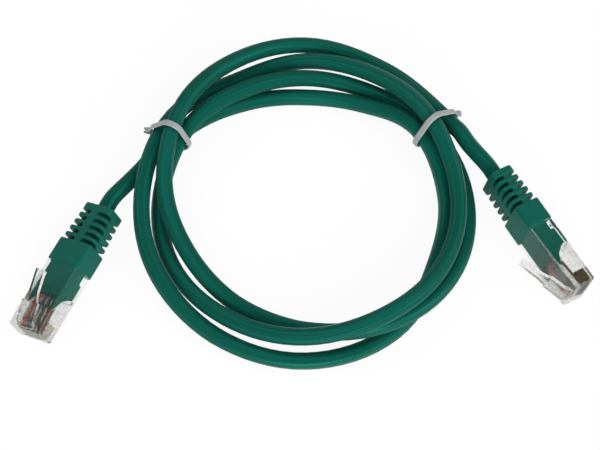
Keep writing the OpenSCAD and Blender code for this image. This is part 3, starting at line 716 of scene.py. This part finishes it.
wires = {
    "diameter": 0.95,
    "pitch": 1.02,
    "start": 26.8,  # where the jacket ends, from the boot's cable end
    "straight": 0.4,  # before they fan out
    "rowStart": 33.7,
    "end": 42.95,
    "rowBack": 1.2,  # how high the row lies at its back, and at its front by the nose
    "rowFront": 0.3,
    "bundlePitch": 0.5,  # in the jacket, where they lie in two rows
    "bundleUp": 0.55,
    "fan": 1.25,  # they spread sideways this much sooner than they come level
    "steps": 40,
    "sides": 16,
}


def ease(t):
    t = min(max(t, 0), 1)
    return t * t * (3 - 2 * t)


def wirePoint(w, i, x):  # from two rows in the jacket to one row at the nose
    t = (x - w["start"] - w["straight"]) / (w["rowStart"] - w["start"] - w["straight"])
    ahead = max(0, (x - w["rowStart"]) / (w["end"] - w["rowStart"]))
    row = w["rowBack"] + (w["rowFront"] - w["rowBack"]) * ahead
    side = i - (len(wireMats) + 1) / 2
    y, z = side * w["bundlePitch"], w["bundleUp"] if i % 2 == 0 else -w["bundleUp"]
    return Vector((x, y + (side * w["pitch"] - y) * ease(w["fan"] * t), z + (row - z) * ease(t)))


def layWires(k):
    place = plugFrame(k)
    reach, steps = wires["end"] - wires["start"], wires["steps"]
    stops = [wires["start"] + reach * j / steps for j in range(steps + 1)]
    for i, mat in enumerate(wireMats, 1):
        line = [place @ (wirePoint(wires, i, x) * mm) / mm for x in stops]
        piece = runTree(f"plug_{k}_conductor_{i}", tube, line, {
            "Radius": wires["diameter"] / 2 * mm, "Sides": wires["sides"], "Material": mat})
        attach(piece, "cable")
        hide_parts(f"plug_{k}_wire_{i}")


layWires("a")
layWires("b")
print("conductors laid")


# moulded boots: the CAD form, with every edge softened

softBoot = {
    "voxel": 0.14,
    "smoothing": 28,
    "keep": 0.3,  # share of the even mesh's faces that stays
}

weld = 0.002  # points nearer than this are one
flat = 1  # degrees, under which two faces are one


def mergedCopy(node, name, k):  # in the plug's own frame
    work = bmesh.new()
    work.from_mesh(nodes[node].data)
    bmesh.ops.remove_doubles(work, verts=work.verts, dist=weld * mm)
    level = math.radians(flat)
    bmesh.ops.dissolve_limit(work, angle_limit=level, verts=work.verts, edges=work.edges)
    work.transform(plugFrame(k).inverted())
    mesh = bpy.data.meshes.new(name)
    work.to_mesh(mesh)
    work.free()
    return mesh


def placePiece(name, mesh, k, mat, body, node):
    mesh.transform(plugFrame(k))
    mesh.materials.clear()
    mesh.materials.append(mat)
    piece = bpy.data.objects.new(name, mesh)
    bpy.context.collection.objects.link(piece)
    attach(piece, body)
    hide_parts(node)
    return piece


def makeBoot(k, s):
    rough = bpy.data.objects.new("bootForm", mergedCopy(f"plug_{k}_boot", "bootForm", k))
    bpy.context.collection.objects.link(rough)
    even = rough.modifiers.new("even", "REMESH")
    even.mode = "VOXEL"
    even.voxel_size = s["voxel"] * mm
    soft = rough.modifiers.new("soft", "SMOOTH")
    soft.iterations = s["smoothing"]
    thin = rough.modifiers.new("thin", "DECIMATE")
    thin.ratio = s["keep"]
    bpy.context.view_layer.update()
    deps = bpy.context.evaluated_depsgraph_get()
    mesh = bpy.data.meshes.new_from_object(rough.evaluated_get(deps), depsgraph=deps)
    bpy.data.objects.remove(rough)
    mesh.name = f"plug_{k}_boot_soft"
    mesh.shade_smooth()
    return placePiece(mesh.name, mesh, k, bootPvc, "cable", f"plug_{k}_boot")


for k in "ab":
    boot = makeBoot(k, softBoot)
    print("boot", k, len(boot.data.polygons), "faces")


# clear housings and latches, with fine rounded edges

clearEdges = {
    # the solid ones tell where the thin wall grows solid, from the boot's cable end
    "housing": {"round": 0.05, "solidFrom": 24.5, "solidTo": 33},
    "latch": {"round": 0.08, "solidFrom": -2, "solidTo": 60},
    "sharp": 30,  # degrees, over which an edge is rounded
    "segments": 2,
    "bulge": 0.5,
}


def makeClear(k, part, s, body):
    size = s[part]
    name = f"plug_{k}_{part}_clear"
    mesh = mergedCopy(f"plug_{k}_{part}", name, k)
    work = bmesh.new()
    work.from_mesh(mesh)
    least = math.radians(s["sharp"])
    sharp = [e for e in work.edges if e.is_manifold and e.calc_face_angle() > least]
    bmesh.ops.bevel(work, geom=sharp, offset=size["round"] * mm, offset_type="OFFSET",
                    segments=s["segments"], profile=s["bulge"], affect="EDGES", clamp_overlap=False)
    bmesh.ops.remove_doubles(work, verts=work.verts, dist=weld * mm)
    work.to_mesh(mesh)
    work.free()
    share = mesh.attributes.new("solidShare", "FLOAT", "POINT")
    for i, v in enumerate(mesh.vertices):
        x = v.co.x / mm
        share.data[i].value = ease((x - size["solidFrom"]) / (size["solidTo"] - size["solidFrom"]))
    placePiece(name, mesh, k, clearShell, body, f"plug_{k}_{part}")


for k in "ab":
    makeClear(k, "housing", clearEdges, "cable")
    makeClear(k, "latch", clearEdges, f"latch_{k}")
print("clear plastic done")


# CAD parts that show as they are

def repaint(node, mat):
    mesh = nodes[node].data
    mesh.materials.clear()
    mesh.materials.append(mat)


for k in "ab":
    repaint(f"plug_{k}_contacts", paintedLightBlades[k])
    repaint(f"plug_{k}_jacket", bootPvc)
print("plugs painted")


# table, lamps and world

studio = {
    "floorSize": 6,
    "floorColour": (0.94, 0.94, 0.94, 1),
    "floorRough": 0.9,
    "floorWhite": 0.92,  # share of its look that is plain white
    "world": 0.62,  # strength, where it isn't seen itself
    "lamps": [  # name, size, watts, place
        ("overLeft", 0.9, 2.5, (-0.7, 0.5, 1.1)),
        ("overRight", 0.9, 6.8, (1.0, -0.3, 0.65)),
        ("front", 0.7, 10, (0.0, -1.2, 0.5)),
    ],
}


def whiteTable(s):  # part of the floor's look is plain white, so that its shadow stays faint
    finish = {"Base Color": s["floorColour"], "Roughness": s["floorRough"]}
    mat = plainMaterial("whiteTable", finish)[0]
    tree = mat.node_tree
    ray, calc = addNode(tree, "ShaderNodeLightPath").outputs, mathIn(tree)
    direct = calc("MAXIMUM", ray["Is Camera Ray"], ray["Is Glossy Ray"])
    seen = calc("MAXIMUM", direct, ray["Is Transmission Ray"])
    white = addNode(tree, "ShaderNodeEmission")
    blendOver(mat, calc("MULTIPLY", seen, s["floorWhite"]), white.outputs["Emission"])
    return mat


def makeStudio(s):
    size = s["floorSize"] / 2
    mesh = bpy.data.meshes.new("table")
    mesh.from_pydata([(-size, -size, 0), (size, -size, 0), (size, size, 0), (-size, size, 0)], [],
                     [(0, 1, 2, 3)])
    floor = bpy.data.objects.new("table", mesh)
    bpy.context.collection.objects.link(floor)
    mesh.materials.append(whiteTable(s))
    for name, width, watts, place in s["lamps"]:
        data = bpy.data.lights.new(name, "AREA")
        data.size = width
        data.energy = watts
        lamp = bpy.data.objects.new(name, data)
        bpy.context.collection.objects.link(lamp)
        lamp.location = place
        lamp.rotation_euler = (-Vector(place)).to_track_quat("-Z", "Y").to_euler()
    world = bpy.data.worlds.new("studio")
    world.use_nodes = True
    sky = world.node_tree.nodes["Background"]
    sky.inputs["Color"].default_value = (1, 1, 1, 1)
    ray, calc = addNode(world.node_tree, "ShaderNodeLightPath").outputs, mathIn(world.node_tree)
    strength = calc("MAXIMUM", ray["Is Camera Ray"], s["world"])  # plain white to the eye
    world.node_tree.links.new(strength, sky.inputs["Strength"])
    bpy.context.scene.world = world
    bpy.context.scene.view_settings.view_transform = "Standard"


makeStudio(studio)
print("studio lit")
